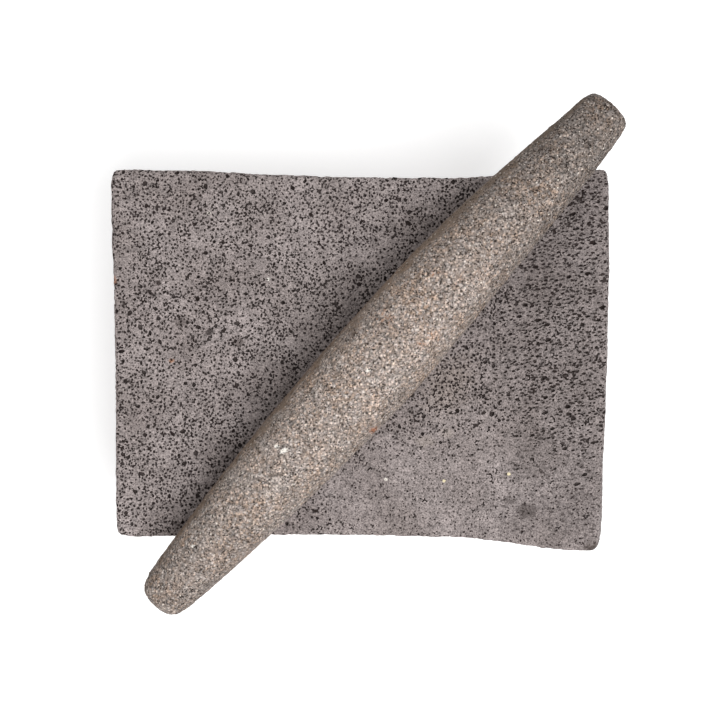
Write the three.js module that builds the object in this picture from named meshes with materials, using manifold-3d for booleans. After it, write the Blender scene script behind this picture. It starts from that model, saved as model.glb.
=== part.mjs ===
// Saddle quern (metate) of vesicular basalt: a dished slab carved in one block with its three
// legs, and the long spindle-shaped hand stone (mano) that rests slantwise across it.
// Millimetres, +Z up. X runs along the slab from its low end to its high end.

import * as THREE from 'three';
import { mergeVertices } from 'three/addons/utils/BufferGeometryUtils.js';
import Module from 'manifold-3d';

const wasm = await Module();
wasm.setup();

// ---- Driving dimensions ----------------------------------------------------------------------

// Grinding surface: a shallow dish along X, straight across Y, tilted up towards the high end.
const SURFACE = {
  height: 122, // above the floor at x = 0
  tilt: 0.079, // rise per millimetre towards the high end
  dish: 24, // rise of the dish at its reach
  reach: 190,
};

// Slab outline in plan.
const PLAN = {
  lowEnd: -187.4, // straight part of the low end
  lowEndFlare: 3.8, // how far the low end runs out towards its back corner
  highEnd: 184.4, // back part of the high end
  highEndTaper: 7.8, // how far the high end draws in towards its front corner
  backMiddle: 142, // long edge at +Y, a shallow curve
  backCurve: [-6.5, 3.8, 5], // its first, second and third power terms
  frontMiddle: 136.3, // long edge at -Y
  frontSwell: 7.6, // the long edge at -Y widens near the high end
  frontSwellStart: 70,
  frontSwellLength: 100,
  cornerPull: 0.012, // rounding of the corners, as a share of the half size
};

const RIM_THICKNESS = 36;
const BELLY = 11; // extra thickness in the middle
const LOW_END_LEAN = THREE.MathUtils.degToRad(8);
const HIGH_END_LEAN = THREE.MathUtils.degToRad(12);
const FRONT_CORNER_LEAN = THREE.MathUtils.degToRad(6); // added towards the high front corner
const TOP_ROUNDING = 2.4;
const UNDERSIDE_ROUNDING = 10;
const SLAB_CELLS = { x: 28, y: 20 };
const RIM_CELL = 0.07; // share of the half size that the outermost cell takes

// Legs: two short ones under the low end, and a taller and wider one under the high end.
const LEG_SIDES = 20;
const LEG_EMBED = 17; // how far a leg runs up into the slab
const FOOT_CHAMFER = 3;
const LEG_FLARE = 9; // widening where a leg grows out of the slab
const LEG_FLARE_LENGTH = 12;
const LOW_LEG = { footRadius: 20, topRadius: 32, widening: 1 };
const HIGH_LEG = { footRadius: 22, topRadius: 33, widening: 1.45 };
const LEGS = [
  { ...LOW_LEG, foot: [-139, 90], top: [-131, 84] },
  { ...LOW_LEG, foot: [-139, -90], top: [-131, -84] },
  { ...HIGH_LEG, foot: [138, 0], top: [131, 0] },
];

// Chips in the rim: centre, size along X, Y and Z, and turn about Z.
const CHIPS = [
  { at: [-191.4, 100, 140], size: [6, 6, 34], turn: 45 }, // notch in the low end
  { at: [188.9, 146.3, 158], size: [22, 6, 34], turn: -68 }, // back corner of the high end
  { at: [185.6, -144.4, 158], size: [34, 8, 60], turn: 66 }, // front corner of the high end
];

// Hand stone.
const HAND = {
  length: 498,
  radius: 35.1, // at its thickest
  taper: 0.475, // share of the radius that the ends have lost
  taperPower: 1.8,
  bow: 2, // the axis bows sideways, most at bowAt of the half length
  bowAt: 0.42,
  bowReach: 0.55,
  lowEndRounding: 9.5,
  highEndRounding: 5.5,
  centre: [14.4, 0],
  yaw: THREE.MathUtils.degToRad(47.6), // from the slab's X towards its +Y
};
const HAND_SIDES = 28;
const HAND_STATIONS = 30;
const END_ARC_STEPS = 3;
const RESTING_GAP = 0.3; // left between the two stones

// ---- Surface and outline formulas ------------------------------------------------------------

function surfaceHeight(x) {
  return SURFACE.height + SURFACE.tilt * x + SURFACE.dish * (x / SURFACE.reach) ** 2;
}

// Low and high end of the slab at v, which runs from -1 (front) to 1 (back).
function lowEnd(v) {
  const share = Math.max(0, (v + 0.1) / 1.1);
  return PLAN.lowEnd - PLAN.lowEndFlare * share;
}

function highEnd(v) {
  const share = Math.max(0, (0.8 - v) / 1.8);
  return PLAN.highEnd - PLAN.highEndTaper * share ** 2;
}

// Front and back edge of the slab at x.
function frontEdge(x) {
  const swell = THREE.MathUtils.smoothstep(
    x,
    PLAN.frontSwellStart,
    PLAN.frontSwellStart + PLAN.frontSwellLength,
  );
  return -(PLAN.frontMiddle + PLAN.frontSwell * swell);
}

function backEdge(x) {
  const u = x / SURFACE.reach;
  const [skew, flare, twist] = PLAN.backCurve;
  return PLAN.backMiddle + skew * u + flare * u ** 2 + twist * u ** 3;
}

function thickness(u, v) {
  return RIM_THICKNESS + BELLY * (1 - u * u) * (1 - v * v);
}

// Lean of the slab's depth direction: the end faces are about square to the dished surface.
function depthLean(u, v) {
  if (u < 0) {
    return LOW_END_LEAN * u * u;
  }
  const corner = Math.max(0, -v) ** 3;
  return (HIGH_END_LEAN + FRONT_CORNER_LEAN * corner) * u * u;
}

// ---- Geometry helpers ------------------------------------------------------------------------

// Calls move(vertex) on every vertex of a geometry, which changes it in place.
function moveVertices(geometry, move) {
  const position = geometry.attributes.position;
  const vertex = new THREE.Vector3();
  for (let i = 0; i < position.count; i += 1) {
    vertex.fromBufferAttribute(position, i);
    move(vertex);
    position.setXYZ(i, vertex.x, vertex.y, vertex.z);
  }
  return geometry;
}

function toManifold(geometry) {
  const bare = geometry.clone();
  bare.deleteAttribute('normal');
  bare.deleteAttribute('uv');
  const merged = mergeVertices(bare, 1e-3);
  return new wasm.Manifold(new wasm.Mesh({
    numProp: 3,
    vertProperties: new Float32Array(merged.attributes.position.array),
    triVerts: new Uint32Array(merged.index.array),
  }));
}

function toGeometry(manifold) {
  const mesh = manifold.getMesh();
  const geometry = new THREE.BufferGeometry();
  geometry.setAttribute('position', new THREE.BufferAttribute(mesh.vertProperties, 3));
  geometry.setIndex(new THREE.BufferAttribute(mesh.triVerts, 1));
  geometry.computeVertexNormals();
  return geometry;
}

// ---- Quern slab ------------------------------------------------------------------------------

// Rings of the slab's edge from top to underside: how far each is drawn in, and its depth.
function edgeRings(depth) {
  const arc = 1 - Math.SQRT1_2;
  return [
    { inset: TOP_ROUNDING, depth: 0 },
    { inset: TOP_ROUNDING * arc, depth: TOP_ROUNDING * arc },
    { inset: 0, depth: TOP_ROUNDING },
    { inset: 0, depth: depth - UNDERSIDE_ROUNDING },
    { inset: UNDERSIDE_ROUNDING * arc, depth: depth - UNDERSIDE_ROUNDING * arc },
    { inset: UNDERSIDE_ROUNDING, depth },
  ];
}

// Spreads evenly spaced stations so that the outermost cell at each end has the rim's width.
function station(share, cells) {
  const even = 1 - 2 / cells;
  if (Math.abs(share) <= even + 1e-6) {
    return share * (1 - RIM_CELL) / even;
  }
  return Math.sign(share);
}

function plateGeometry() {
  const ringSteps = edgeRings(RIM_THICKNESS).length - 1;
  const box = new THREE.BoxGeometry(2, 2, 1, SLAB_CELLS.x, SLAB_CELLS.y, ringSteps);
  return moveVertices(box, (vertex) => {
    const u = station(vertex.x, SLAB_CELLS.x);
    const v = station(vertex.y, SLAB_CELLS.y);
    const ring = edgeRings(thickness(u, v))[Math.round((0.5 - vertex.z) * ringSteps)];
    const pull = 1 - PLAN.cornerPull * (u * v) ** 24;
    const low = lowEnd(v) + ring.inset;
    const high = highEnd(v) - ring.inset;
    const x = THREE.MathUtils.lerp(low, high, (u * pull + 1) / 2);
    const front = frontEdge(x) + ring.inset;
    const back = backEdge(x) - ring.inset;
    const y = THREE.MathUtils.lerp(front, back, (v * pull + 1) / 2);
    const lean = depthLean(u, v);
    vertex.set(
      x + Math.sign(u) * ring.depth * Math.sin(lean),
      y,
      surfaceHeight(x) - ring.depth * Math.cos(lean),
    );
  });
}

// Height of the slab's underside over a point of the plan.
function undersideHeight(x, y) {
  const u = x / SURFACE.reach;
  const v = y / PLAN.backMiddle;
  return surfaceHeight(x) - thickness(u, v);
}

function legGeometry(leg) {
  const shoulder = undersideHeight(...leg.top);
  const radiusAt = (height) => {
    const share = height / shoulder;
    const flare = LEG_FLARE * Math.exp((height - shoulder) / LEG_FLARE_LENGTH);
    return leg.footRadius + (leg.topRadius - leg.footRadius) * share ** 1.2 + flare;
  };
  const heights = [0.12, 0.3, 0.5, 0.68, 0.8, 0.88, 0.94, 1].map((share) => share * shoulder);
  const crown = shoulder + LEG_EMBED;
  const profile = [
    new THREE.Vector2(0, 0),
    new THREE.Vector2(leg.footRadius - FOOT_CHAMFER, 0),
    new THREE.Vector2(radiusAt(FOOT_CHAMFER), FOOT_CHAMFER),
    ...heights.map((height) => new THREE.Vector2(radiusAt(height), height)),
    new THREE.Vector2(radiusAt(shoulder), crown),
    new THREE.Vector2(0, crown),
  ];
  const lathe = new THREE.LatheGeometry(profile, LEG_SIDES).rotateX(Math.PI / 2);
  return moveVertices(lathe, (vertex) => {
    const share = vertex.z / shoulder;
    vertex.x += THREE.MathUtils.lerp(leg.foot[0], leg.top[0], share);
    vertex.y = vertex.y * leg.widening + THREE.MathUtils.lerp(leg.foot[1], leg.top[1], share);
  });
}

function chipGeometry(chip) {
  const box = new THREE.BoxGeometry(...chip.size);
  return box.rotateZ(THREE.MathUtils.degToRad(chip.turn)).translate(...chip.at);
}

function quernGeometry() {
  let stone = toManifold(plateGeometry());
  for (const leg of LEGS) {
    stone = stone.add(toManifold(legGeometry(leg)));
  }
  for (const chip of CHIPS) {
    stone = stone.subtract(toManifold(chipGeometry(chip)));
  }
  return toGeometry(stone);
}

// ---- Hand stone ------------------------------------------------------------------------------

// Radius of the spindle at share, which runs from -1 (low end) to 1 (high end).
function handRadius(share) {
  return HAND.radius * (1 - HAND.taper * Math.abs(share) ** HAND.taperPower);
}

function handBow(share) {
  const turn = THREE.MathUtils.clamp((share - HAND.bowAt) / HAND.bowReach, -1, 1);
  return HAND.bow * Math.cos(turn * Math.PI / 2) ** 2;
}

// Rounded corner of an end: an arc from the end's flat to the spindle's side.
function endArc(side, rounding) {
  const half = HAND.length / 2;
  const reach = handRadius(side) - rounding;
  const points = [];
  for (let i = 0; i <= END_ARC_STEPS; i += 1) {
    const angle = (i / END_ARC_STEPS) * Math.PI / 2;
    points.push(new THREE.Vector2(
      reach + rounding * Math.sin(angle),
      side * (half - rounding + rounding * Math.cos(angle)),
    ));
  }
  return points;
}

function handGeometry() {
  const half = HAND.length / 2;
  const low = -1 + (HAND.lowEndRounding + 4) / half;
  const high = 1 - (HAND.highEndRounding + 4) / half;
  const body = [];
  for (let i = 0; i <= HAND_STATIONS; i += 1) {
    const share = THREE.MathUtils.lerp(low, high, i / HAND_STATIONS);
    body.push(new THREE.Vector2(handRadius(share), share * half));
  }
  const profile = [
    new THREE.Vector2(0, -half),
    ...endArc(-1, HAND.lowEndRounding),
    ...body,
    ...endArc(1, HAND.highEndRounding).reverse(),
    new THREE.Vector2(0, half),
  ];
  const lathe = new THREE.LatheGeometry(profile, HAND_SIDES).rotateZ(-Math.PI / 2);
  return moveVertices(lathe, (vertex) => {
    vertex.y += handBow(vertex.x / half);
  });
}

function handRotation(pitch) {
  return new THREE.Euler(0, -pitch, HAND.yaw, 'ZYX');
}

// Least height of the spindle's side above the grinding surface, for the low and the high half
// of the hand stone, with its centre at height 0.
function clearances(pitch) {
  const rotation = handRotation(pitch);
  const point = new THREE.Vector3();
  const least = { low: Infinity, high: Infinity };
  const steps = 240;
  for (let i = 0; i <= steps; i += 1) {
    const share = -1 + 2 * i / steps;
    const half = share < 0 ? 'low' : 'high';
    for (let angle = 180; angle <= 360; angle += 5) {
      const turn = THREE.MathUtils.degToRad(angle);
      point.set(
        share * HAND.length / 2,
        handBow(share) + handRadius(share) * Math.cos(turn),
        handRadius(share) * Math.sin(turn),
      );
      point.applyEuler(rotation);
      point.x += HAND.centre[0];
      point.y += HAND.centre[1];
      if (point.y > frontEdge(point.x) && point.y < backEdge(point.x)) {
        least[half] = Math.min(least[half], point.z - surfaceHeight(point.x));
      }
    }
  }
  return least;
}

// The hand stone touches the quern near both long edges: its pitch evens out the two clearances,
// and its height then leaves only the resting gap.
function restingPose() {
  let lowPitch = 0;
  let highPitch = 0.2;
  for (let i = 0; i < 24; i += 1) {
    const pitch = (lowPitch + highPitch) / 2;
    const least = clearances(pitch);
    if (least.low > least.high) {
      lowPitch = pitch;
    } else {
      highPitch = pitch;
    }
  }
  const least = clearances(lowPitch);
  return { pitch: lowPitch, height: RESTING_GAP - Math.min(least.low, least.high) };
}

// ---- Materials and assembly ------------------------------------------------------------------

const greyBasalt = new THREE.MeshStandardMaterial({
  color: '#7c7370',
  roughness: 0.9,
  metalness: 0,
});

const warmBasalt = new THREE.MeshStandardMaterial({
  color: '#94847a',
  roughness: 0.92,
  metalness: 0,
});

const slab = new THREE.Mesh(quernGeometry(), greyBasalt);
slab.name = 'quern_slab';

const pose = restingPose();
const hand = new THREE.Mesh(handGeometry(), warmBasalt);
hand.name = 'hand_stone';
hand.rotation.copy(handRotation(pose.pitch));
hand.position.set(...HAND.centre, pose.height);

// The whole part stands on z = 0 with the origin under the middle of its box.
const quern = new THREE.Group();
quern.add(slab, hand);
quern.updateMatrixWorld(true);
const middle = new THREE.Box3().setFromObject(quern, true).getCenter(new THREE.Vector3());
quern.position.set(-middle.x, -middle.y, 0);

export default quern;
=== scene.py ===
"""Looks for a saddle quern stone: a three-legged basalt slab and the long hand stone that grinds on it.

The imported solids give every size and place. Here both stones get the surface of the real rock, worked
into the mesh first (pecked faces, open gas bubbles, chips and a gouge) and then carried on by the finishes.
"""

import logging
import math

from contextlib import contextmanager
from dataclasses import dataclass, field
from enum import Enum
from typing import Iterator

import bpy
import numpy as np
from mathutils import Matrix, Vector, noise


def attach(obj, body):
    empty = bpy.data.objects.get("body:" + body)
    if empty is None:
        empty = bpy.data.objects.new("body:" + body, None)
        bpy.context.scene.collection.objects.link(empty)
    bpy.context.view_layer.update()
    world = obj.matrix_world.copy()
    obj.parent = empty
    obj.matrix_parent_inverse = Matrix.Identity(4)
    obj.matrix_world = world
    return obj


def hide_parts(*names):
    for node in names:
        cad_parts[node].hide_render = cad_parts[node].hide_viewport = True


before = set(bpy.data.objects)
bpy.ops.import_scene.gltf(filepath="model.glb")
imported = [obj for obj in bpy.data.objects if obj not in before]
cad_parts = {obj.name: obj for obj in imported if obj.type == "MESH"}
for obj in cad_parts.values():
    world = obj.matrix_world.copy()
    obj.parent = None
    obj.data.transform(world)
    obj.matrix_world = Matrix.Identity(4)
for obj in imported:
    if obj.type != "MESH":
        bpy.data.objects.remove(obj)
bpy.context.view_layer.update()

MM = 0.001
PER_METRE = 1000.0
# Bubbles wider than each radius get that row of walls below the rim, each with its width and depth.
BOWL_SIZES = (0.0, 0.82, 1.25)
BOWL_STEPS = ((), ((0.2, 0.7),), ((0.22, 0.9), (0.4, 0.5)))
POINT = 0.5  # how far a bubble's floor goes below its last wall, in millimetres
JITTER = 0.35  # how far the corners are shaken, as a share of a cell
OWN_ROOM, SHARED_ROOM = 0.8, 0.86  # the share of an edge that one bubble may take, and two together
SLANT = 17.0  # degrees from the x axis to the run of the drawn-out bubbles
SHARP_FROM = 38.0  # degrees between two faces from which the edge is left sharp

Object = bpy.types.Object
Mesh = bpy.types.Mesh
Material = bpy.types.Material
Socket = bpy.types.NodeSocket
Feed = Socket | tuple | float

log = logging.getLogger("saddle_quern")


# ---------------------------------------------------------------------------------------------------------
# Small helpers
# ---------------------------------------------------------------------------------------------------------


def linear(shade: str) -> tuple[float, float, float, float]:
    """Turns an sRGB colour into the linear one that shaders take.

    Args:
        shade: Six hex digits, such as "9e948e".

    Returns:
        Red, green, blue and an alpha of one, linear.
    """
    parts = [int(shade[i : i + 2], 16) / 255 for i in (0, 2, 4)]
    red, green, blue = (c / 12.92 if c <= 0.04045 else ((c + 0.055) / 1.055) ** 2.4 for c in parts)
    return red, green, blue, 1.0


def add_node(tree: bpy.types.NodeTree, kind: str, feeds: dict | None = None, **settings) -> bpy.types.Node:
    """Adds a shader node with its settings, its values and the links that feed it.

    Args:
        tree: The node tree that gets the node.
        kind: The node's type name without "ShaderNode".
        feeds: Input name or index, with the value or the output socket that goes into it.
        settings: The node's own settings.

    Returns:
        The new node.
    """
    node = tree.nodes.new("ShaderNode" + kind)
    for name, value in settings.items():
        setattr(node, name, value)
    for key, value in (feeds or {}).items():
        if isinstance(value, Socket):
            tree.links.new(value, node.inputs[key])
        else:
            node.inputs[key].default_value = value
    return node


@contextmanager
def editing(obj: Object) -> Iterator[None]:
    """Opens one object in edit mode, in face select mode, and closes it afterwards.

    Args:
        obj: The object to edit.

    Yields:
        Nothing.
    """
    take_up(obj)
    bpy.context.tool_settings.mesh_select_mode = (False, False, True)
    bpy.ops.object.mode_set(mode="EDIT")
    try:
        yield
    finally:
        bpy.ops.object.mode_set(mode="OBJECT")


def take_up(obj: Object) -> None:
    """Makes an object the only selected one and the active one."""
    bpy.ops.object.select_all(action="DESELECT")
    obj.select_set(True)
    bpy.context.view_layer.objects.active = obj


def select_faces(obj: Object, chosen: np.ndarray) -> None:
    """Selects just some faces, ready for edit mode.

    Args:
        obj: The object whose faces are selected.
        chosen: True for each face that is selected.
    """
    mesh = obj.data
    mesh.vertices.foreach_set("select", np.zeros(len(mesh.vertices), bool))
    mesh.edges.foreach_set("select", np.zeros(len(mesh.edges), bool))
    mesh.polygons.foreach_set("select", chosen)


def apply_modifier(obj: Object, kind: str, **settings) -> None:
    """Adds a modifier with its settings and applies it at once.

    Args:
        obj: The object that is changed.
        kind: The modifier's type.
        settings: The modifier's own settings.
    """
    take_up(obj)
    modifier = obj.modifiers.new(kind.lower(), kind)
    for name, value in settings.items():
        setattr(modifier, name, value)
    bpy.ops.object.modifier_apply(modifier=modifier.name)


def points(mesh: Mesh) -> np.ndarray:
    """Every vertex of a mesh as rows of x, y and z in millimetres."""
    flat = np.empty(len(mesh.vertices) * 3)
    mesh.vertices.foreach_get("co", flat)
    return flat.reshape(-1, 3) * PER_METRE


def outward(mesh: Mesh) -> np.ndarray:
    """The unit normal at every vertex of a mesh."""
    flat = np.empty(len(mesh.vertices) * 3)
    mesh.vertex_normals.foreach_get("vector", flat)
    return flat.reshape(-1, 3)


def put_points(mesh: Mesh, places: np.ndarray) -> None:
    """Moves every vertex of a mesh to its row of x, y and z in millimetres."""
    mesh.vertices.foreach_set("co", (places * MM).ravel())
    mesh.update()


def face_places(mesh: Mesh) -> tuple[np.ndarray, np.ndarray]:
    """Gives the middle of every face in millimetres, and its normal."""
    middles = np.empty(len(mesh.polygons) * 3)
    mesh.polygons.foreach_get("center", middles)
    normals = np.empty(len(mesh.polygons) * 3)
    mesh.polygons.foreach_get("normal", normals)
    return middles.reshape(-1, 3) * PER_METRE, normals.reshape(-1, 3)


def face_corners(mesh: Mesh) -> tuple[np.ndarray, np.ndarray]:
    """Gives the point and the face of every face corner."""
    corners = np.empty(len(mesh.loops), np.int32)
    mesh.loops.foreach_get("vertex_index", corners)
    sides = np.empty(len(mesh.polygons), np.int32)
    mesh.polygons.foreach_get("loop_total", sides)
    return corners, np.repeat(np.arange(len(sides)), sides)


def neighbours(mesh: Mesh, places: np.ndarray) -> list[list[tuple[int, float]]]:
    """Finds what each corner is joined to.

    Args:
        mesh: The mesh.
        places: Its corners in millimetres.

    Returns:
        For each corner, its neighbours, each with the length of the edge between them in millimetres.
    """
    pairs = np.empty(len(mesh.edges) * 2, np.int64)
    mesh.edges.foreach_get("vertices", pairs)
    pairs = pairs.reshape(-1, 2)
    lengths = np.linalg.norm(places[pairs[:, 0]] - places[pairs[:, 1]], axis=1)
    around: list[list[tuple[int, float]]] = [[] for _ in range(len(places))]
    for (a, b), length in zip(pairs.tolist(), lengths.tolist()):
        around[a].append((b, length))
        around[b].append((a, length))
    return around


def smooth_step(low: float, high: float, value: np.ndarray) -> np.ndarray:
    """A soft change from 0 at low to 1 at high.

    Args:
        low: Where the change starts.
        high: Where the change ends; it may be the lower of the two.
        value: The numbers that are read.

    Returns:
        A number from 0 to 1 for each one.
    """
    share = np.clip((value - low) / (high - low), 0, 1)
    return share * share * (3 - 2 * share)


# ---------------------------------------------------------------------------------------------------------
# Stone working
# ---------------------------------------------------------------------------------------------------------


class FaceKind(Enum):
    """What a face is while its stone is worked; the value is its place among the mesh's materials."""

    SURFACE = 0
    LARGE = 1
    SMALL = 2
    JOINED = 3


@dataclass(frozen=True)
class Patch:
    """A soft oval region at a place on a stone, in millimetres.

    Attributes:
        centre: Its middle in the row frame.
        radii: Its half-sizes along its own length, width and height.
        turn: Degrees from the x axis to its length.
        edge: The share of the radii at which it starts to fade.
    """

    centre: tuple[float, float, float]
    radii: tuple[float, float, float]
    turn: float = 0.0
    edge: float = 0.4

    def strength(self, places: np.ndarray) -> np.ndarray:
        """How far inside the patch each place is.

        Args:
            places: Rows of x, y and z in millimetres.

        Returns:
            One at the middle, fading to zero at the radii.
        """
        angle = math.radians(self.turn)
        away = places - np.array(self.centre)
        along = away[:, 0] * math.cos(angle) + away[:, 1] * math.sin(angle)
        across = -away[:, 0] * math.sin(angle) + away[:, 1] * math.cos(angle)
        reach = np.sqrt(
            (along / self.radii[0]) ** 2 + (across / self.radii[1]) ** 2 + (away[:, 2] / self.radii[2]) ** 2
        )
        return smooth_step(1.0, self.edge, reach)


DENTS = (
    (Patch((-160.5, 50.5, 122.0), (7.5, 2.0, 40.0), -38.0), 1.8),
    (Patch((-154.9, 58.7, 126.0), (3.0, 3.0, 40.0)), 2.2),
    (Patch((-137.9, 28.5, 121.0), (8.0, 7.0, 40.0)), 1.0),
    (Patch((-116.2, 20.8, 121.0), (4.5, 3.5, 40.0), 30.0), 2.2),
    (Patch((-93.8, 13.0, 121.0), (6.0, 4.5, 40.0)), 1.4),
    (Patch((126.6, -114.9, 140.0), (9.0, 7.0, 40.0)), 0.9),
)


@dataclass
class StoneWork:
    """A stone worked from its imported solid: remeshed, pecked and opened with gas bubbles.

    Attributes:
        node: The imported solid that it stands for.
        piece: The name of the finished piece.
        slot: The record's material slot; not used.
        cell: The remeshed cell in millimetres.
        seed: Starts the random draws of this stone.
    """

    node: str
    piece: str
    slot: str
    cell: float
    seed: int

    def rough_out(self) -> Object:
        """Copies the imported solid, merges its triangles and remeshes it evenly.

        Returns:
            The new object, in the solid's place.
        """
        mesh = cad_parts[self.node].data.copy()
        mesh.materials.clear()
        obj = bpy.data.objects.new(self.piece, mesh)
        bpy.context.scene.collection.objects.link(obj)
        with editing(obj):
            bpy.ops.mesh.select_all(action="SELECT")
            bpy.ops.mesh.remove_doubles(threshold=0.01 * MM)
            bpy.ops.mesh.normals_make_consistent(inside=False)
        apply_modifier(obj, "REMESH", mode="VOXEL", voxel_size=self.cell * MM)
        apply_modifier(obj, "SMOOTH", factor=0.5, iterations=4)
        return obj

    def break_grid(self, obj: Object, kept: float) -> None:
        """Splits the cells into triangles and thins them at random, so that no grid is left in them.

        Args:
            obj: The stone.
            kept: The share of the triangles that is kept.
        """
        draw = np.random.default_rng(self.seed)
        places = points(obj.data)
        shift = draw.uniform(-JITTER, JITTER, places.shape) * self.cell
        put_points(obj.data, places + shift)
        with editing(obj):
            bpy.ops.mesh.select_all(action="SELECT")
            bpy.ops.mesh.quads_convert_to_tris(quad_method="SHORTEST_DIAGONAL")
            bpy.ops.mesh.decimate(ratio=kept)
        apply_modifier(obj, "SMOOTH", factor=0.5, iterations=2)
        on_top = (outward(obj.data)[:, 2] > 0.5).sum()
        log.info("    %d triangles, %d corners on top", len(obj.data.polygons), on_top)

    def hammer(self, obj: Object, size: float, height: float) -> None:
        """Raises and lowers the surface in soft lumps, as hammering and wearing leave it.

        Args:
            obj: The stone.
            size: The lumps' width in millimetres.
            height: The whole range of the relief in millimetres.
        """
        lumps = bpy.data.textures.new("lumps", "CLOUDS")
        lumps.noise_scale = size * MM
        lumps.noise_depth = 2
        apply_modifier(
            obj, "DISPLACE", texture=lumps, strength=height * MM, mid_level=0.5,
            direction="NORMAL", texture_coords="LOCAL",
        )
        bpy.data.textures.remove(lumps)

    def choose_bubbles(
        self, obj: Object, chance: np.ndarray, wanted: np.ndarray, smallest: float
    ) -> dict[int, float]:
        """Picks the corners where a bubble opens, and a radius that its neighbours leave room for.

        Args:
            obj: The stone, in triangles.
            chance: The chance of a bubble at each corner.
            wanted: The radius that a bubble would have at each corner, in millimetres.
            smallest: No bubble has a smaller radius, in millimetres.

        Returns:
            Each chosen corner with its radius in millimetres.
        """
        around = neighbours(obj.data, points(obj.data))
        draw = np.random.default_rng(self.seed + 1)
        order = np.flatnonzero(draw.uniform(0, 1, len(around)) < chance)
        draw.shuffle(order)
        chosen: dict[int, float] = {}
        for corner in order.tolist():
            radius = wanted[corner]
            for other, length in around[corner]:
                room = SHARED_ROOM if other in chosen else OWN_ROOM
                radius = min(radius, room * length - chosen.get(other, 0.0))
            if radius >= smallest:
                chosen[corner] = radius
        return chosen

    def cut_rims(
        self, obj: Object, chosen: dict[int, float], widest: float, kind: FaceKind
    ) -> None:
        """Cuts an uneven rim round each chosen corner.

        Args:
            obj: The stone, in triangles.
            chosen: Each corner with its radius in millimetres, at least half of the widest.
            widest: The widest radius in millimetres.
            kind: What the new faces are.
        """
        group = obj.vertex_groups.new(name="bubbles")
        for corner, radius in chosen.items():
            group.add([corner], min(radius / widest, 1.0), "REPLACE")
        apply_modifier(
            obj, "BEVEL", affect="VERTICES", limit_method="VGROUP", vertex_group=group.name,
            width=widest * MM, offset_type="OFFSET", segments=1, use_clamp_overlap=False, material=kind.value,
        )
        obj.vertex_groups.clear()
        self.shape_rims(obj, kind)
        log.info("    %d %s bubbles", len(chosen), kind.name.lower())

    def start_kinds(self, obj: Object) -> None:
        """Gives the mesh one material for each kind of face, to tell them apart while it is worked."""
        for kind in FaceKind:
            obj.data.materials.append(bpy.data.materials.new(kind.name.lower()))

    def face_kinds(self, obj: Object) -> np.ndarray:
        """The kind of every face: surface or bubble."""
        kinds = np.empty(len(obj.data.polygons), np.int32)
        obj.data.polygons.foreach_get("material_index", kinds)
        return kinds

    def on_bubble(self, obj: Object) -> np.ndarray:
        """True for each corner that touches a bubble."""
        corners, owner = face_corners(obj.data)
        touching = np.zeros(len(obj.data.vertices), bool)
        touching[corners[self.face_kinds(obj)[owner] > 0]] = True
        return touching

    def drawn_out(self, places: np.ndarray) -> np.ndarray:
        """How far a bubble at each place is drawn out into a dash, from 0 to 1."""
        return np.zeros(len(places))

    def bubble_faces(self, obj: Object) -> tuple[np.ndarray, np.ndarray]:
        """Which faces belong to bubbles, and each face's radius as a circle in millimetres."""
        areas = np.empty(len(obj.data.polygons))
        obj.data.polygons.foreach_get("area", areas)
        return self.face_kinds(obj) > 0, np.sqrt(areas / math.pi) * PER_METRE

    def shape_rims(self, obj: Object, kind: FaceKind) -> None:
        """Makes each new rim uneven, and draws some out into short slanting dashes.

        Args:
            obj: The stone, with rims just cut.
            kind: The kind of the faces inside the new rims.
        """
        mesh = obj.data
        draw = np.random.default_rng(self.seed + kind.value)
        slant = math.radians(SLANT)
        lengthwise = np.array([math.cos(slant), math.sin(slant), 0.0])
        places = points(mesh)
        cut = np.flatnonzero(self.face_kinds(obj) == kind.value)
        rings = [list(mesh.polygons[index].vertices) for index in cut.tolist()]
        middles = np.array([places[ring].mean(0) for ring in rings])
        for ring, middle, share in zip(rings, middles, self.drawn_out(middles)):
            spokes = (places[ring] - middle) * draw.uniform(0.78, 1.15, (len(ring), 1))
            angle = draw.uniform(0, math.pi)
            direction = lengthwise if share > 0.4 else np.array([math.cos(angle), math.sin(angle), 0.0])
            along = np.outer(spokes @ direction, direction)
            stretch = max(share, draw.uniform(0.0, 0.8))
            places[ring] = middle + spokes + 0.3 * stretch * along - 0.3 * stretch * (spokes - along)
        put_points(mesh, places)

    def join_bubbles(self, obj: Object, share: float) -> None:
        """Opens some of the walls between neighbouring bubbles and sinks each joined group as one hollow.

        Args:
            obj: The stone, with its rims cut.
            share: The share of the walls between bubbles that are gone.
        """
        mesh = obj.data
        kinds = self.face_kinds(obj)
        bubble_at = {v: i for i in np.flatnonzero(kinds > 0).tolist() for v in mesh.polygons[i].vertices}
        draw = np.random.default_rng(self.seed + 8)
        joined: set[int] = set()
        for face in mesh.polygons:
            if kinds[face.index] > 0 or len(face.vertices) < 5 or draw.uniform() > share:
                continue
            beside = {bubble_at[v] for v in face.vertices if v in bubble_at}
            if len(beside) >= 2:
                joined |= beside | {face.index}
        kinds[list(joined)] = FaceKind.JOINED.value
        mesh.polygons.foreach_set("material_index", kinds)
        select_faces(obj, kinds == FaceKind.JOINED.value)
        with editing(obj):
            bpy.ops.mesh.inset(thickness=0.16 * MM, depth=-0.8 * MM, use_individual=False)
        floor = np.array([face.select for face in obj.data.polygons])
        low = np.zeros(len(obj.data.vertices), bool)
        for index in np.flatnonzero(floor).tolist():
            low[list(obj.data.polygons[index].vertices)] = True
        places, normals = points(obj.data), outward(obj.data)
        places[low] -= normals[low] * draw.uniform(0.0, 0.7, (int(low.sum()), 1))
        put_points(obj.data, places)
        log.info("    %d faces in joined bubbles", len(joined))

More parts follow.
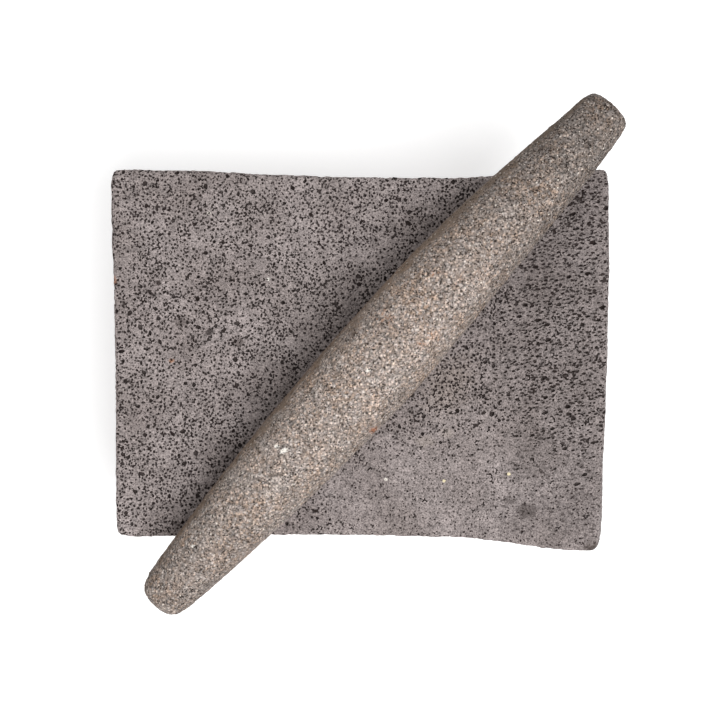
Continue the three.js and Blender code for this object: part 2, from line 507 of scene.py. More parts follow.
    def sink(self, obj: Object) -> None:
        """Sinks the wide rims as bowls, the middling ones as cups and the narrow ones as cones."""
        in_bubble, radii = self.bubble_faces(obj)
        in_bubble &= self.face_kinds(obj) != FaceKind.JOINED.value
        sizes = np.full(len(radii), -1)
        for index, low in enumerate(BOWL_SIZES):
            sizes[in_bubble & (radii >= low)] = index
        mark = obj.data.attributes.new("size", "INT", "FACE")
        mark.data.foreach_set("value", sizes)
        for index, steps in enumerate(BOWL_STEPS):
            sizes = np.empty(len(obj.data.polygons), np.int32)
            obj.data.attributes["size"].data.foreach_get("value", sizes)
            select_faces(obj, sizes == index)
            with editing(obj):
                for wall, depth in steps:
                    bpy.ops.mesh.inset(thickness=wall * MM, depth=-depth * MM, use_individual=True)
                bpy.ops.mesh.poke(offset=-POINT * MM, center_mode="MEDIAN")
            log.info("    %d bubbles with %d walls", (sizes == index).sum(), len(steps))
        obj.data.attributes.remove(obj.data.attributes["size"])

    def mark_hollows(self, obj: Object) -> None:
        """Marks the faces that lie in bubbles, for the finish to darken with dirt and painted shade, and ends
        the sorting of faces.
        """
        kinds = self.face_kinds(obj)
        hollow = obj.data.attributes.new("hollow", "FLOAT", "FACE")
        hollow.data.foreach_set("value", (kinds > 0).astype(np.float32))
        for material in list(obj.data.materials):
            bpy.data.materials.remove(material)
        obj.data.materials.clear()

    def finish_piece(self, obj: Object, material: Material) -> Object:
        """Shades and dresses the stone, and hands it to the frame in place of its solid.

        Args:
            obj: The worked stone.
            material: Its finish.

        Returns:
            The same object.
        """
        take_up(obj)
        bpy.ops.object.shade_smooth_by_angle(angle=math.radians(SHARP_FROM))
        obj.data.materials.append(material)
        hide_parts(self.node)
        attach(obj, "root")
        triangles = sum(len(face.vertices) - 2 for face in obj.data.polygons)
        log.info("%s: %d triangles, finish %s", self.piece, triangles, material.name)
        return obj


@dataclass
class QuernSlab(StoneWork):
    """The slab on its three legs: open bubbles on the dished top, plainer pecked stone below.

    Attributes:
        worn: Where grinding has closed most of the bubbles.
        flow: Where the bubbles were drawn out while the lava still moved.
        keep_below: The share of triangles kept on the legs and the underside.
        leg_height: The slab's underside lies above this height, in millimetres.
        top_height: The worked top lies above this height, in millimetres.
        side_height: Below this height the sides are plain too, in millimetres.
        large_share: How many corners open as a large bubble where bubbles crowd.
        large_radius: The smallest radius of a large bubble in millimetres.
        large_spread: How much wider the widest one is, in millimetres.
        large_room: How far its neighbours are pushed away, as a share of its radius.
    """

    node: str = "quern_slab"
    piece: str = "basalt_slab"
    slot: str = "quern_stone"
    cell: float = 1.9
    seed: int = 11
    worn: Patch = Patch((82.0, -112.0, 130.0), (170.0, 78.0, 400.0), 0.0, 0.5)
    flow: Patch = Patch((190.0, 20.0, 140.0), (105.0, 230.0, 400.0), 0.0, 0.6)
    keep_below: float = 0.055
    leg_height: float = 84.0
    top_height: float = 105.0
    side_height: float = 112.0
    large_share: float = 0.09
    large_radius: float = 1.3
    large_spread: float = 1.0
    large_room: float = 1.3

    def drawn_out(self, places: np.ndarray) -> np.ndarray:
        """How far a bubble at each place is drawn out into a dash, from 0 to 1."""
        return self.flow.strength(places)

    def build(self, finish: "VesicularBasalt") -> Object:
        """Works the slab from its solid and dresses it.

        Args:
            finish: The slab's surface.

        Returns:
            The finished slab.
        """
        obj = self.rough_out()
        self.thin_underside(obj)
        self.break_grid(obj, 0.62)
        self.hammer(obj, 42.0, 1.6)
        self.hammer(obj, 5.0, 0.7)
        self.dent(obj)
        self.start_kinds(obj)
        draw = np.random.default_rng(self.seed + 7)
        widest = self.large_radius + self.large_spread
        self.cut_rims(obj, self.large_bubbles(obj, draw), widest, FaceKind.LARGE)
        chance = np.where(self.on_bubble(obj), 0.0, self.crowding(obj))
        wanted = np.clip(draw.lognormal(math.log(1.04), 0.3, len(chance)), 0.66, 1.5)
        wanted *= 1.0 - 0.35 * self.worn.strength(points(obj.data))
        self.cut_rims(obj, self.choose_bubbles(obj, chance, wanted, 0.6), 1.2, FaceKind.SMALL)
        self.join_bubbles(obj, 0.06)
        self.sink(obj)
        self.mark_hollows(obj)
        self.unfold(obj)
        return self.finish_piece(obj, finish.material())

    def dent(self, obj: Object) -> None:
        """Presses the gouge and the broad hollows into the top, and wears the feet level with the floor."""
        places = points(obj.data)
        for patch, depth in DENTS:
            places[:, 2] -= depth * patch.strength(places)
        places[:, 2] = np.maximum(places[:, 2], 0.0)
        put_points(obj.data, places)

    def large_bubbles(self, obj: Object, draw: np.random.Generator) -> dict[int, float]:
        """Picks the corners of the large bubbles and pushes their neighbours away to make room.

        Args:
            obj: The slab, in triangles.
            draw: The source of the random draws.

        Returns:
            Each chosen corner with its radius in millimetres.
        """
        places = points(obj.data)
        around = neighbours(obj.data, places)
        chance = self.large_share * self.crowding(obj) * (1.0 - self.worn.strength(places))
        order = np.flatnonzero(draw.uniform(0, 1, len(places)) < chance)
        draw.shuffle(order)
        taken: set[int] = set()
        chosen: dict[int, float] = {}
        for corner in order.tolist():
            ring = [other for other, _ in around[corner]]
            if corner in taken or not taken.isdisjoint(ring):
                continue
            radius = self.large_radius + self.large_spread * draw.uniform() ** 2
            for other in ring:
                away = places[other] - places[corner]
                length = np.linalg.norm(away)
                places[other] += away / length * max(0.0, self.large_room * radius - length)
            taken.update(ring)
            taken.add(corner)
            chosen[corner] = radius
        put_points(obj.data, places)
        return chosen

    def crowding(self, obj: Object) -> np.ndarray:
        """The chance of a bubble at each corner: high on the top, in drifts, and low where it is worn."""
        places, normals = points(obj.data), outward(obj.data)
        on_top = smooth_step(0.45, 0.8, normals[:, 2]) * (places[:, 2] > self.top_height)
        drifts = np.array([noise.noise(Vector(place) / 14.0) for place in places])
        return on_top * (0.51 + 0.54 * drifts) * (1.0 - 0.45 * self.worn.strength(places))

    def unfold(self, obj: Object) -> None:
        """Lays the surface flat for baking: the top as seen from above, with the rest in a row beside it."""
        obj.data.uv_layers.new(name="OFBake")
        middles, normals = face_places(obj.data)
        hollow = np.empty(len(obj.data.polygons))
        obj.data.attributes["hollow"].data.foreach_get("value", hollow)
        height, up = middles[:, 2], normals[:, 2]
        top = (height > self.top_height) & ((up > 0.35) | (hollow > 0.5))
        legs = ~top & (height < self.leg_height)
        rim = ~top & ~legs & (up > -0.2)
        parts = (rim, legs, ~top & ~legs & ~rim)
        for part in parts:
            select_faces(obj, part)
            with editing(obj):
                bpy.ops.uv.smart_project(angle_limit=math.radians(75.0), island_margin=0.004)
        corners, owner = face_corners(obj.data)
        layer = obj.data.uv_layers["OFBake"]
        flat = np.empty(len(corners) * 2)
        layer.data.foreach_get("uv", flat)
        flat = flat.reshape(-1, 2)
        for column, part in enumerate(parts):
            flat[part[owner]] = flat[part[owner]] * 0.325 + (0.334 * column + 0.002, 0.672)
        spread = points(obj.data)[corners[top[owner]], :2]
        low, high = spread.min(axis=0), spread.max(axis=0)
        flat[top[owner]] = (spread - low) * min(0.99 / (high[0] - low[0]), 0.66 / (high[1] - low[1])) + 0.004
        layer.data.foreach_set("uv", flat.ravel())

    def thin_underside(self, obj: Object) -> None:
        """Leaves larger triangles on the legs and the underside, which are plainer."""
        middles, normals = face_places(obj.data)
        up, height = normals[:, 2], middles[:, 2]
        select_faces(obj, (up < 0.1) & (height < self.side_height) | (height < self.leg_height) | (up < -0.2))
        with editing(obj):
            bpy.ops.mesh.decimate(ratio=self.keep_below)
        log.info("    %d faces with the underside thinned", len(obj.data.polygons))


@dataclass
class HandStone(StoneWork):
    """The long two-handed grinding stone, thick in the middle and rounded at both ends.

    Attributes:
        turn: Degrees from the x axis to its length.
        centre: The middle of its length in millimetres.
        half_length: Half of its length in millimetres.
        half_width: Half of its width at the middle, in millimetres.
        taper: How much narrower the ends are, as a share of the middle.
        fullness: The power of the curve along which it narrows.
        end_radius: The radius where its blunt ends begin, in millimetres.
    """

    node: str = "hand_stone"
    piece: str = "basalt_hand_stone"
    slot: str = "hand_stone"
    cell: float = 1.45
    seed: int = 29
    turn: float = 47.6
    centre: tuple[float, float, float] = (14.9, -0.9, 159.0)
    half_length: float = 249.0
    half_width: float = 35.1
    taper: float = 0.475
    fullness: float = 1.8
    end_radius: float = 16.0

    def build(self, finish: "GrainyBasalt") -> Object:
        """Works the hand stone from its solid and dresses it.

        Args:
            finish: The hand stone's surface.

        Returns:
            The finished hand stone.
        """
        obj = self.rough_out()
        self.break_grid(obj, 0.72)
        self.hammer(obj, 30.0, 0.9)
        self.hammer(obj, 2.6, 0.55)
        self.start_kinds(obj)
        places = points(obj.data)
        angle = math.radians(self.turn)
        along = places[:, 0] * math.cos(angle) + places[:, 1] * math.sin(angle)
        chance = 0.05 + 0.09 * smooth_step(20.0, 230.0, along)
        draw = np.random.default_rng(self.seed + 7)
        wanted = np.clip(draw.lognormal(math.log(0.72), 0.2, len(places)), 0.5, 1.0)
        self.cut_rims(obj, self.choose_bubbles(obj, chance, wanted, 0.5), 1.0, FaceKind.SMALL)
        self.join_bubbles(obj, 0.12)
        self.sink(obj)
        self.mark_hollows(obj)
        self.unfold(obj)
        return self.finish_piece(obj, finish.material())

    def unfold(self, obj: Object) -> None:
        """Unrolls the surface for baking, with the seam along the bottom and one half above the other."""
        layer = obj.data.uv_layers.new(name="OFBake")
        corners, owner = face_corners(obj.data)
        along, round_it, reach = self.unrolled(points(obj.data)[corners])
        middle_along, middle_round, _ = self.unrolled(face_places(obj.data)[0])
        far = middle_along[owner] > 0.0
        reach += np.where(far, along, -along)
        step = round_it - middle_round[owner]
        round_it = middle_round[owner] + step - np.round(step)
        flat = np.stack(((reach + 3.0) / (reach.max() + 6.0), (round_it + 0.52) * 0.48 + 0.5 * far), axis=1)
        layer.data.foreach_set("uv", flat.ravel())

    def unrolled(self, places: np.ndarray) -> tuple[np.ndarray, np.ndarray, np.ndarray]:
        """Gives each place's distance along the stone, its turn round it and its depth in a blunt end."""
        angle = math.radians(self.turn)
        away = places - np.array(self.centre)
        along = away[:, 0] * math.cos(angle) + away[:, 1] * math.sin(angle)
        side = away[:, 1] * math.cos(angle) - away[:, 0] * math.sin(angle)
        inward = np.maximum(0.0, self.end_radius - np.hypot(side, away[:, 2]))
        return along, np.arctan2(side, away[:, 2]) / (2.0 * math.pi), inward


# ---------------------------------------------------------------------------------------------------------
# Finishes
# ---------------------------------------------------------------------------------------------------------


class StoneShader:
    """The nodes of one stone's finish, worked in millimetres on the stone's own coordinates."""

    def __init__(self, name: str) -> None:
        """Starts a material with its coordinates.

        Args:
            name: The material's name.
        """
        self.material = bpy.data.materials.new(name)
        self.material.use_nodes = True
        self.tree = self.material.node_tree
        self.tree.nodes.clear()
        coordinates = add_node(self.tree, "TexCoord")
        self.place = self.add(
            "VectorMath", {0: coordinates.outputs["Object"], "Scale": PER_METRE}, operation="SCALE"
        )

    def add(self, kind: str, feeds: dict | None = None, output: int | str = 0, **settings) -> Socket:
        """Adds a node to this finish and gives the output that is wanted from it.

        Args:
            kind: The node's type name without "ShaderNode".
            feeds: Input name or index, with what goes into it.
            output: The name or index of the output.
            settings: The node's own settings.

        Returns:
            The output socket.
        """
        return add_node(self.tree, kind, feeds, **settings).outputs[output]

    def mottling(self, size: float, low: float, high: float, detail: float = 3.0) -> Socket:
        """A cloudy pattern between two values.

        Args:
            size: The clouds' width in millimetres.
            low: The value of the troughs.
            high: The value of the crests.
            detail: How many finer layers it has.

        Returns:
            The pattern.
        """
        clouds = self.add(
            "TexNoise", {"Vector": self.place, "Scale": 1 / size, "Detail": detail, "Roughness": 0.55}
        )
        return self.add(
            "MapRange", {"Value": clouds, "From Min": 0.32, "From Max": 0.68, "To Min": low, "To Max": high}
        )

    def wandering(self, size: float, shift: float) -> Socket:
        """The stone's coordinates, pushed to and fro so that specks laid on them come out uneven.

        Args:
            size: The width of the pushes in millimetres.
            shift: Their whole range in millimetres.

        Returns:
            The coordinates in millimetres.
        """
        push = self.add("TexNoise", {"Vector": self.place, "Scale": 1 / size, "Detail": 1.0}, output="Color")
        return self.add("VectorMath", {0: push, 1: (shift,) * 3, 2: self.place}, operation="MULTIPLY_ADD")

    def specks(
        self, size: float, radii: tuple[float, float], share: Feed, soft: float = 0.3,
        at: Socket | None = None,
    ) -> Socket:
        """Scattered specks, bubbles or crystals, each with a size of its own.

        Args:
            size: The spacing in millimetres.
            radii: Their smallest and largest radius in millimetres.
            share: The share of cells that hold one.
            soft: The width of the soft edge in millimetres.
            at: Other coordinates than the stone's own, in millimetres.

        Returns:
            One inside a speck, zero outside.
        """
        cells = add_node(self.tree, "TexVoronoi", {"Vector": at or self.place, "Scale": 1 / size})
        draw = add_node(self.tree, "SeparateColor", {"Color": cells.outputs["Color"]})
        rim = self.add(
            "MapRange", {"Value": draw.outputs["Green"], "To Min": radii[0] / size, "To Max": radii[1] / size}
        )
        core = self.add("Math", {0: rim, 1: soft / size}, operation="SUBTRACT")
        inside = self.add("MapRange", {"Value": cells.outputs["Distance"], "From Min": rim, "From Max": core})
        held = self.add("Math", {0: draw.outputs["Red"], 1: share}, operation="LESS_THAN")
        return self.add("Math", {0: inside, 1: held}, operation="MULTIPLY")

    def patch(self, patch: Patch, rough: float = 0.25) -> Socket:
        """The mask of a patch, with a ragged edge.

        Args:
            patch: The patch.
            rough: How ragged its edge is.

        Returns:
            One at its middle, zero outside.
        """
        ragged = self.add("TexNoise", {"Vector": self.place, "Scale": 2.5 / min(patch.radii), "Detail": 3.0})
        shift = self.add(
            "MapRange", {"Value": ragged, "From Min": 0.3, "From Max": 0.7, "To Min": -rough, "To Max": rough}
        )
        turned = self.add(
            "Mapping",
            {
                "Vector": self.place, "Location": patch.centre,
                "Rotation": (0.0, 0.0, math.radians(patch.turn)), "Scale": patch.radii,
            },
            vector_type="TEXTURE",
        )
        reach = self.add("VectorMath", {0: turned}, output="Value", operation="LENGTH")
        ragged_reach = self.add("Math", {0: reach, 1: shift}, operation="ADD")
        return self.add(
            "MapRange", {"Value": ragged_reach, "From Min": 1.0, "From Max": patch.edge},
            interpolation_type="SMOOTHSTEP",
        )

    def lay(self, under: Feed, over: Feed, share: Feed) -> Socket:
        """Lays one colour over another by a mask.

        Args:
            under: The colour below.
            over: The colour on top.
            share: The mask, or one number.

        Returns:
            The colour that shows.
        """
        return self.add("Mix", {0: share, 6: under, 7: over}, output=2, data_type="RGBA")

    def times(self, *factors: Feed) -> Socket:
        """Multiplies patterns and numbers together."""
        product = factors[0]
        for factor in factors[1:]:
            product = self.add("Math", {0: product, 1: factor}, operation="MULTIPLY")
        return product

    def close(self, colour: Socket, height: Socket, relief: float, roughness: float) -> Material:
        """Feeds the shader and ends the material.

        Args:
            colour: The surface colour.
            height: The fine relief, from 0 to 1.
            relief: What that range stands for, in millimetres.
            roughness: The surface roughness.

        Returns:
            The finished material.
        """
        bump = self.add("Bump", {"Height": height, "Distance": relief * MM, "Strength": 1.0}, output="Normal")
        surface = self.add(
            "BsdfPrincipled",
            {
                "Base Color": colour, "Roughness": roughness, "IOR": 1.5, "Specular IOR Level": 0.3,
                "Normal": bump,
            },
        )
        add_node(self.tree, "OutputMaterial", {"Surface": surface})
        return self.material


# Stains, rust, pale crystals, and the dark in the gouge and the dents, which is partly dirt and partly
# painted shade.
SLAB_STAINS_AND_DENT_SHADE = (
    (Patch((70.0, -19.0, 130.0), (44.0, 26.0, 8.0), 47.0, 0.2), "8d7d6e", 0.25),
    (Patch((50.5, -63.2, 128.0), (9.0, 6.0, 8.0)), "b5a99f", 0.3),
    (Patch((67.0, -56.8, 129.0), (7.0, 5.0, 8.0)), "b5a99f", 0.3),
    (Patch((-144.8, -1.6, 122.0), (3.0, 2.5, 8.0)), "a56a3e", 0.6),
    (Patch((-188.1, 60.2, 130.0), (3.0, 4.0, 8.0)), "a56a3e", 0.6),
    # The gouge and the dents, laid dark: partly dirt, partly painted shade.
    (Patch((-93.8, 13.0, 121.0), (6.5, 5.0, 8.0)), "4a403d", 0.6),
    (Patch((-116.2, 20.8, 121.0), (4.5, 3.5, 8.0), 30.0), "2b2220", 0.8),
    (Patch((-137.9, 28.5, 121.0), (8.0, 7.0, 8.0)), "4a403d", 0.5),
    (Patch((-160.5, 50.5, 126.0), (7.5, 1.8, 8.0), -38.0), "2b2220", 0.9),
    (Patch((-154.9, 58.7, 126.0), (2.6, 2.6, 8.0)), "231815", 0.9),
    # The shallow dent on the right, laid dark: partly dirt, partly painted shade.
    (Patch((126.6, -114.9, 142.0), (9.0, 6.5, 8.0), 0.0, 0.6), "3c3431", 0.55),
    (Patch((113.4, -106.9, 140.0), (5.5, 4.0, 8.0), 0.0, 0.6), "3c3431", 0.45),
    (Patch((180.0, -141.0, 153.0), (18.0, 7.0, 14.0)), "3f3530", 0.75),
    (Patch((-70.6, 61.8, 122.0), (1.7, 1.5, 8.0), 0.0, 0.7), "f2ede4", 0.95),
    (Patch((-116.2, 112.8, 121.0), (1.8, 1.4, 8.0), 0.0, 0.7), "d8d0c6", 0.8),
    (Patch((20.6, -92.9, 124.0), (1.5, 1.3, 8.0), 0.0, 0.7), "efe9df", 0.9),
    (Patch((113.4, -87.3, 138.0), (1.7, 1.4, 8.0), 0.0, 0.7), "e6d9b4", 0.9),
    (Patch((64.9, -93.6, 130.0), (1.5, 1.3, 8.0), 0.0, 0.7), "e6d9b4", 0.9),
)


@dataclass(frozen=True)
class VesicularBasalt:
    """Grey vesicular basalt, pecked flat and rubbed by use: a pale dull matrix full of dark bubbles.

    Attributes:
        matrix: The stone between the bubbles.
        shaded: The same stone where dust and soot have settled.
        bubble: The dark in the bubbles, partly dirt and partly painted shade in their depths.
        worn: Where grinding has closed most of the bubbles.
        flow: Where the bubbles were drawn out into dashes, and where the rising right part is painted darker
            as the shade of its slope.
    """

    matrix: str = "9d9391"
    shaded: str = "807673"
    bubble: str = "231815"
    worn: Patch = QuernSlab.worn
    flow: Patch = QuernSlab.flow

    def material(self) -> Material:
        """Makes the material."""
        stone = StoneShader("vesicular_basalt_pecked")
        colour = stone.lay(linear(self.matrix), linear(self.shaded), stone.mottling(38.0, 0.0, 0.7))
        worn = stone.patch(self.worn)
        flow = stone.patch(self.flow)
        share = stone.add("MapRange", {"Value": worn, "To Min": 0.88, "To Max": 0.5})
        wandering = stone.wandering(1.4, 1.6)
        drawn = stone.add(
            "Mapping",
            {"Vector": wandering, "Rotation": (0.0, 0.0, math.radians(-SLANT)), "Scale": (0.55, 1.1, 1.0)},
        )
        round_ones = stone.specks(2.7, (0.5, 1.15), share, at=wandering)
        dashes = stone.specks(2.7, (0.6, 1.25), 0.95, at=drawn)
        small = stone.add("Mix", {0: flow, 2: round_ones, 3: dashes}, output=0)
        small = stone.times(small, stone.add("MapRange", {"Value": worn, "To Min": 1.0, "To Max": 0.62}))
        pinholes = stone.specks(1.7, (0.35, 0.8), 0.78, at=wandering)
        hollow = stone.add("Attribute", attribute_name="hollow", output="Fac")
        light = stone.times(
            stone.mottling(9.0, 0.86, 1.12),
            stone.mottling(1.1, 0.58, 1.44, 1.0),
            stone.mottling(2.4, 0.84, 1.14, 1.0),
            # The rising right part is painted darker: painted shade of its slope, which faces away from the
            # lamp.
            stone.add("MapRange", {"Value": flow, "To Min": 1.0, "To Max": 0.8}),
            stone.add("MapRange", {"Value": worn, "To Min": 0.98, "To Max": 0.93}),
        )
        colour = stone.add("VectorMath", {0: colour, "Scale": light}, operation="SCALE")
        for patch, shade, strength in SLAB_STAINS_AND_DENT_SHADE:
            colour = stone.lay(colour, linear(shade), stone.times(stone.patch(patch), strength))
        colour = stone.lay(colour, linear("cfc6be"), stone.times(stone.specks(5.5, (0.3, 0.7), 0.3), 0.6))
        # Pinholes, small bubbles and open hollows are laid dark: partly dirt, partly painted shade in their
        # depths.
        colour = stone.lay(colour, linear(self.bubble), stone.times(pinholes, 0.82))
        colour = stone.lay(colour, linear(self.bubble), stone.times(small, 0.92))
        colour = stone.lay(colour, linear(self.bubble), stone.times(hollow, stone.mottling(4.0, 0.78, 1.0)))
        height = stone.add("Math", {0: stone.mottling(1.3, 0.4, 1.0, 2.0), 1: small}, operation="SUBTRACT")
        return stone.close(colour, height, 0.45, 0.9)


HAND_STAINS = (
    (Patch((54.6, 60.3, 185.0), (8.0, 5.0, 12.0), 10.0, 0.2), "b06c34", 0.6),
    (Patch((70.9, 55.3, 185.0), (6.0, 4.5, 12.0), 40.0, 0.2), "b4744a", 0.5),
    (Patch((20.4, 28.3, 185.0), (8.0, 7.0, 12.0), 0.0, 0.2), "b07a4e", 0.45),
    (Patch((51.7, 16.9, 185.0), (7.0, 5.0, 12.0), 0.0, 0.2), "b07a4e", 0.4),
    (Patch((43.2, 10.5, 185.0), (5.0, 4.0, 12.0), 0.0, 0.2), "b4744a", 0.45),
    (Patch((10.5, -52.1, 170.0), (4.0, 3.0, 12.0), 0.0, 0.3), "9c5526", 0.75),
    (Patch((-54.2, -66.3, 185.0), (3.2, 2.4, 12.0), 30.0, 0.5), "f3eee6", 0.95),
    (Patch((-59.5, -63.0, 185.0), (2.2, 1.8, 12.0), 0.0, 0.5), "f3eee6", 0.9),
    (Patch((-121.8, -137.4, 175.0), (2.4, 1.8, 12.0), 0.0, 0.5), "f3eee6", 0.9),
    (Patch((6.2, -8.0, 190.0), (2.4, 1.8, 12.0), 0.0, 0.5), "f3eee6", 0.9),
    (Patch((-3.0, 17.6, 185.0), (3.0, 2.0, 12.0), 0.0, 0.4), "2a211d", 0.85),
)


@dataclass(frozen=True)
class GrainyBasalt:
    """Fine warm basalt worn by the hands: pale and dark grains side by side, smoother at the back edge.

    Attributes:
        grey: The greyer grains.
        tan: The warmer grains.
        flank: The brown of the worn flanks, laid on the back margin: partly the stone's own brown, partly
            painted shade on the side away from the lamp.
        pit_dirt_and_shade: The dark in the open bubbles, pores and dark specks, partly dirt and partly
            painted shade in their depths.
        shape: The hand stone's own sizes.
    """

    grey: str = "b1a7a1"
    tan: str = "b09682"
    flank: str = "806955"
    pit_dirt_and_shade: str = "2a1f1a"
    shape: HandStone = field(default_factory=HandStone)

    def material(self) -> Material:
        """Makes the material."""
        stone = StoneShader("grainy_basalt_hand_worn")
        wandering = stone.wandering(1.2, 1.2)
        coarse = add_node(stone.tree, "TexVoronoi", {"Vector": wandering, "Scale": 1 / 2.1})
        fine = add_node(stone.tree, "TexVoronoi", {"Vector": stone.place, "Scale": 1 / 1.05})
        draw = add_node(stone.tree, "SeparateColor", {"Color": coarse.outputs["Color"]})
        fine_draw = stone.add("SeparateColor", {"Color": fine.outputs["Color"]})
        warm = stone.times(draw.outputs["Green"], stone.mottling(28.0, 0.3, 1.0))
        colour = stone.lay(linear(self.grey), linear(self.tan), warm)
        flank, margin, dim = self.wear_and_shade(stone)
        # The back margin, on the side away from the lamp, is laid brown: partly worn brown, partly painted
        # shade.
        colour = stone.lay(colour, linear(self.flank), stone.times(margin, 0.75))
        grain = stone.times(
            stone.add(
                "MapRange",
                {
                    "Value": coarse.outputs["Distance"], "From Min": 0.2, "From Max": 0.62,
                    "To Min": 1.16, "To Max": 0.6,
                },
            ),
            stone.add("MapRange", {"Value": draw.outputs["Red"], "To Min": 0.72, "To Max": 1.26}),
            stone.add("MapRange", {"Value": fine_draw, "To Min": 0.5, "To Max": 1.5}),
        )
        grain = stone.add("Mix", {0: stone.times(margin, 0.6), 2: grain, 3: 0.9}, output=0)
        light = stone.times(
            grain, dim, stone.mottling(9.0, 0.9, 1.1),
            # Both flanks are painted darker: painted shade on the round sides.
            stone.add("MapRange", {"Value": flank, "To Min": 1.0, "To Max": 0.8}),
        )
        colour = stone.add("VectorMath", {0: colour, "Scale": light}, operation="SCALE")
        for patch, shade, strength in HAND_STAINS:
            colour = stone.lay(colour, linear(shade), stone.times(stone.patch(patch, 0.6), strength))
        pale = stone.specks(2.6, (0.35, 0.8), 0.38, 0.2)
        crowd = stone.add(
            "MapRange", {"Value": dim, "From Min": 0.95, "From Max": 0.7, "To Min": 0.3, "To Max": 0.62}
        )
        dark = stone.specks(2.9, (0.4, 1.1), crowd, 0.25, at=wandering)
        dark = stone.times(dark, stone.add("MapRange", {"Value": margin, "To Min": 0.85, "To Max": 0.25}))
        colour = stone.lay(colour, linear("eee4d8"), stone.times(pale, stone.mottling(12.0, 0.4, 0.9)))
        pores = stone.specks(1.4, (0.34, 0.74), stone.mottling(7.0, 0.4, 0.85), 0.2)
        pores = stone.times(pores, stone.add("MapRange", {"Value": margin, "To Min": 0.92, "To Max": 0.35}))
        # Pores, dark specks and open hollows are laid dark: partly dirt, partly painted shade in their
        # depths.
        colour = stone.lay(colour, linear(self.pit_dirt_and_shade), pores)
        colour = stone.lay(colour, linear(self.pit_dirt_and_shade), dark)
        hollow = stone.add("Attribute", attribute_name="hollow", output="Fac")
        colour = stone.lay(colour, linear(self.pit_dirt_and_shade), stone.times(hollow, 0.9))
        height = stone.add("Math", {0: stone.times(grain, 0.6), 1: dark}, operation="SUBTRACT")
        return stone.close(colour, height, 0.45, 0.88)

    def wear_and_shade(self, stone: StoneShader) -> tuple[Socket, Socket, Socket]:
        """Finds the flanks, which are painted with shade, the smooth brown margin, which is partly painted
        shade too, and the darker ends.

        Args:
            stone: The finish that is being made.

        Returns:
            A mask of both flanks for their painted shade, a mask of the margin along the back for its brown
            and painted shade, and what the ends are darkened by.
        """
        shape = self.shape
        turned = stone.add(
            "Mapping",
            {
                "Vector": stone.place, "Location": shape.centre,
                "Rotation": (0.0, 0.0, math.radians(shape.turn)),
            },
            vector_type="TEXTURE",
        )
        split = add_node(stone.tree, "SeparateXYZ", {0: turned})
        along = stone.add("Math", {0: split.outputs["X"]}, operation="ABSOLUTE")
        share = stone.add("Math", {0: along, 1: shape.half_length}, operation="DIVIDE")
        narrowing = stone.add("Math", {0: share, 1: shape.fullness}, operation="POWER")
        half = stone.add(
            "Math", {0: narrowing, 1: -shape.taper * shape.half_width, 2: shape.half_width},
            operation="MULTIPLY_ADD",
        )
        across = stone.add("Math", {0: split.outputs["Y"]}, operation="ABSOLUTE")
        ratio = stone.add("Math", {0: across, 1: half}, operation="DIVIDE")
        flank = stone.add(
            "MapRange", {"Value": ratio, "From Min": 0.4, "From Max": 0.95}, interpolation_type="SMOOTHSTEP"
        )
        side = stone.add("Math", {0: split.outputs["Y"], 1: half}, operation="DIVIDE")
        uneven = stone.add("Math", {0: side, 1: stone.mottling(16.0, -0.12, 0.12)}, operation="ADD")
        margin = stone.add(
            "MapRange", {"Value": uneven, "From Min": 0.8, "From Max": 0.98}, interpolation_type="SMOOTHSTEP"
        )
        ends = [
            stone.add(
                "MapRange",
                {
                    "Value": split.outputs["X"], "From Min": start, "From Max": end,
                    "To Min": 1.0, "To Max": light,
                },
            )
            for start, end, light in ((60.0, 200.0, 0.6), (-90.0, -230.0, 0.8))
        ]
        return flank, margin, stone.times(*ends)


# ---------------------------------------------------------------------------------------------------------
# Studio
# ---------------------------------------------------------------------------------------------------------


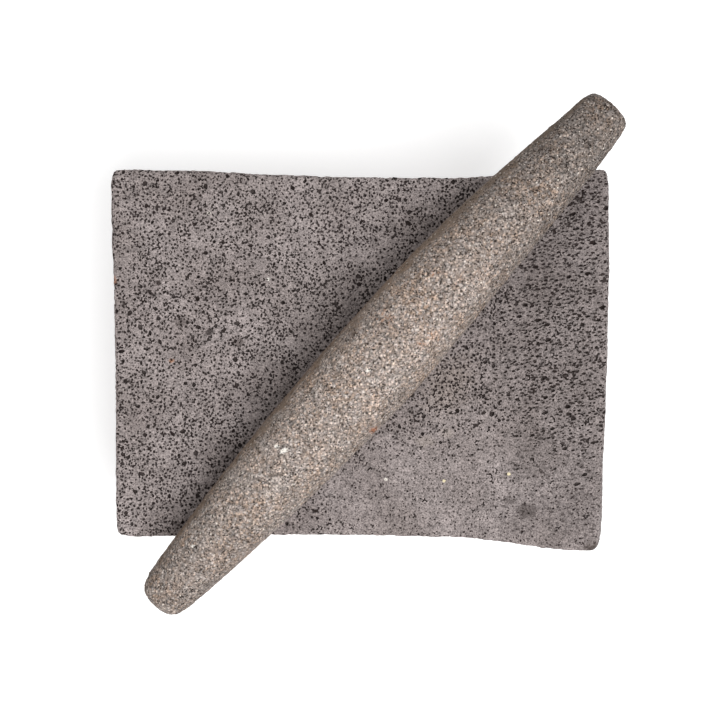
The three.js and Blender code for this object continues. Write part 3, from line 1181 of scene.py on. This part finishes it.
@dataclass
class Studio:
    """A pale floor, soft light from one side and a camera straight above.

    Attributes:
        aim: The point on the floor under the camera, in millimetres.
        height: The camera's height above the floor in millimetres.
        lens: Its focal length in millimetres.
        lamp: The lamp's place in millimetres.
        lamp_size: The lamp's side in millimetres.
        lamp_power: The lamp's power in watts.
        sky: The strength of the light from above.
        wall: The strength of the light from the white walls, which the floor runs into.
        floor_glow: How much light the floor gives off itself, as a lit table does.
        floor_radius: The floor's radius in millimetres.
    """

    aim: tuple[float, float] = (0.54, -0.87)
    height: float = 1019.65
    lens: float = 58.05
    lamp: tuple[float, float, float] = (520.0, -500.0, 1600.0)
    lamp_size: float = 1100.0
    lamp_power: float = 24.0
    sky: float = 0.57
    wall: float = 0.97
    floor_glow: float = 0.35
    floor_radius: float = 9000.0

    def build(self) -> None:
        """Sets up the floor, the light and the camera."""
        self.lay_floor()
        self.light()
        self.place_camera()
        bpy.context.scene.view_settings.view_transform = "Standard"

    def lay_floor(self) -> None:
        """Lays the round floor that the legs stand on."""
        bpy.ops.object.select_all(action="DESELECT")
        bpy.ops.mesh.primitive_circle_add(vertices=96, radius=self.floor_radius * MM, fill_type="NGON")
        floor = bpy.context.object
        floor.name = "studio_floor"
        paper = bpy.data.materials.new("matt_white_paper")
        paper.use_nodes = True
        paper.node_tree.nodes.clear()
        surface = add_node(
            paper.node_tree, "BsdfPrincipled",
            {
                "Base Color": linear("f4f4f4"), "Roughness": 0.95,
                "Emission Color": linear("ffffff"), "Emission Strength": self.floor_glow,
            },
        )
        add_node(paper.node_tree, "OutputMaterial", {"Surface": surface.outputs[0]})
        floor.data.materials.append(paper)

    def light(self) -> None:
        """Hangs the soft lamp and lights the room evenly."""
        lamp = bpy.data.lights.new("soft_lamp", "AREA")
        lamp.shape = "SQUARE"
        lamp.size = self.lamp_size * MM
        lamp.energy = self.lamp_power
        holder = bpy.data.objects.new("soft_lamp", lamp)
        holder.location = Vector(self.lamp) * MM
        holder.rotation_euler = (-holder.location).to_track_quat("-Z", "Y").to_euler()
        bpy.context.scene.collection.objects.link(holder)
        room = bpy.data.worlds.new("pale_room")
        room.use_nodes = True
        room.node_tree.nodes.clear()
        direction = add_node(room.node_tree, "TexCoord")
        height = add_node(room.node_tree, "SeparateXYZ", {0: direction.outputs["Generated"]})
        strength = add_node(
            room.node_tree, "MapRange",
            {
                "Value": height.outputs["Z"], "From Min": 0.05, "From Max": 0.5,
                "To Min": self.wall, "To Max": self.sky,
            },
        )
        air = add_node(
            room.node_tree, "Background", {"Color": linear("ffffff"), "Strength": strength.outputs[0]}
        )
        add_node(room.node_tree, "OutputWorld", {"Surface": air.outputs[0]})
        bpy.context.scene.world = room

    def place_camera(self) -> None:
        """Places the camera straight above, the slab's length across its view."""
        camera = bpy.data.cameras.new("camera")
        camera.lens = self.lens
        camera.sensor_width = 36.0
        holder = bpy.data.objects.new("camera", camera)
        holder.location = Vector((*self.aim, self.height)) * MM
        bpy.context.scene.collection.objects.link(holder)
        bpy.context.scene.camera = holder


def main() -> None:
    """Builds the studio and both stones, in order."""
    logging.basicConfig(level=logging.INFO, format="%(message)s")

    Studio().build()
    log.info("studio: floor, lamp and camera")
    QuernSlab().build(VesicularBasalt())
    HandStone().build(GrainyBasalt())


if __name__ == "__main__":
    main()
